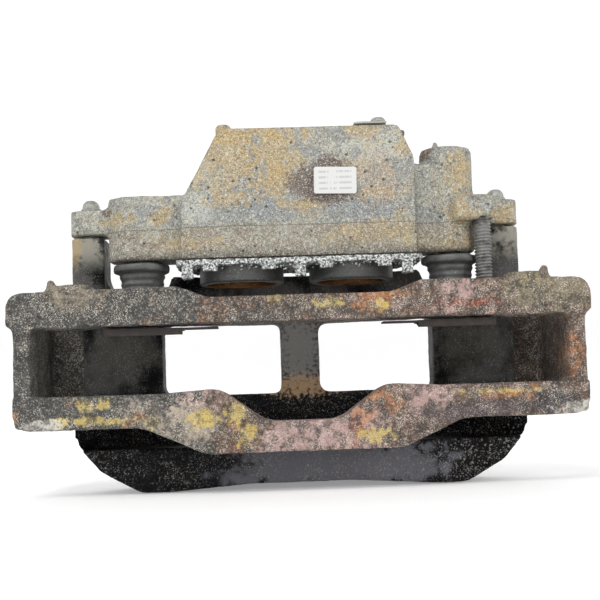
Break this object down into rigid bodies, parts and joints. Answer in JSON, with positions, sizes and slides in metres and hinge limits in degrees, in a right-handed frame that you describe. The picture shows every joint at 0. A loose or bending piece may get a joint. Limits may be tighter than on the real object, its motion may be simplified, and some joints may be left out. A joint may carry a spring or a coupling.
{
  "type": "brake caliper",
  "caption": "Floating twin-piston disc brake caliper: iron carrier, sliding housing of alloy cylinder block and iron bridge yoke.",
  "frame": {"origin": "under the middle of the bounding box, on the surface that the bridge yoke's outboard wall stands on", "axes": "+X along the disc's rim and the pair of pistons, +Y away from the wheel hub, +Z along the pistons and guide pins towards the vehicle"},
  "size_m": [0.298, 0.104, 0.199],
  "materials": {
    "carrier_iron": "rusted, coarse sand cast",
    "yoke_iron": "dark, worn and greasy cast",
    "cast_alloy": "weathered casting with yellow passivation",
    "pin_steel": "ground",
    "piston_steel": "dark plated",
    "zinc": "dull zinc plate",
    "bright_sheet": "bright sheet",
    "spring_sheet": "rusted spring steel",
    "oxide_crust": "white corrosion crust",
    "black_rubber": "glossy with grease",
    "label_paper": "blank sticker"
  },
  "bodies": {
    "carrier": {"carrier_frame": "carrier_iron", "guide_pin_left": "pin_steel", "guide_pin_right": "pin_steel", "guide_pin_nut_left": "zinc", "guide_pin_nut_right": "zinc", "pad_clip_left": "spring_sheet", "pad_clip_right": "spring_sheet"},
    "housing": {"cylinder_block": "cast_alloy", "bridge_yoke": "yoke_iron", "bridge_bolt_left": "zinc", "bridge_bolt_right": "zinc", "threaded_stud": "pin_steel", "boot_retainer_plate": "oxide_crust", "guide_bush_left": "black_rubber", "guide_bush_right": "black_rubber", "guide_bore_plug": "pin_steel", "guide_boot_left": "black_rubber", "guide_boot_right": "black_rubber", "piston_seal_left": "black_rubber", "piston_seal_right": "black_rubber", "dust_seal_left": "black_rubber", "dust_seal_right": "black_rubber", "clip_plate": "bright_sheet", "clip_screw": "zinc", "label": "label_paper"},
    "piston_left": {"piston_left": "piston_steel"},
    "piston_right": {"piston_right": "piston_steel"},
    "bleeder": {"bleed_screw": "zinc", "bleed_cap": "black_rubber"}
  },
  "joints": [
    {"name": "housing_slide", "type": "slide", "parent": "carrier", "child": "housing", "axis": [0, 0, 1], "range_m": [-0.008, 0.012], "deforming": ["guide_boot_left", "guide_boot_right"]},
    {"name": "piston_left_slide", "type": "slide", "parent": "housing", "child": "piston_left", "axis": [0, 0, 1], "range_m": [-0.018, 0.0115]},
    {"name": "piston_right_slide", "type": "slide", "parent": "housing", "child": "piston_right", "axis": [0, 0, 1], "range_m": [-0.018, 0.0115]},
    {"name": "bleed_screw_turn", "type": "hinge", "parent": "housing", "child": "bleeder", "pos_m": [0.048, 0.004, 0.1925], "axis": [1, 0, 0], "range_deg": [0, 360]}
  ]
}
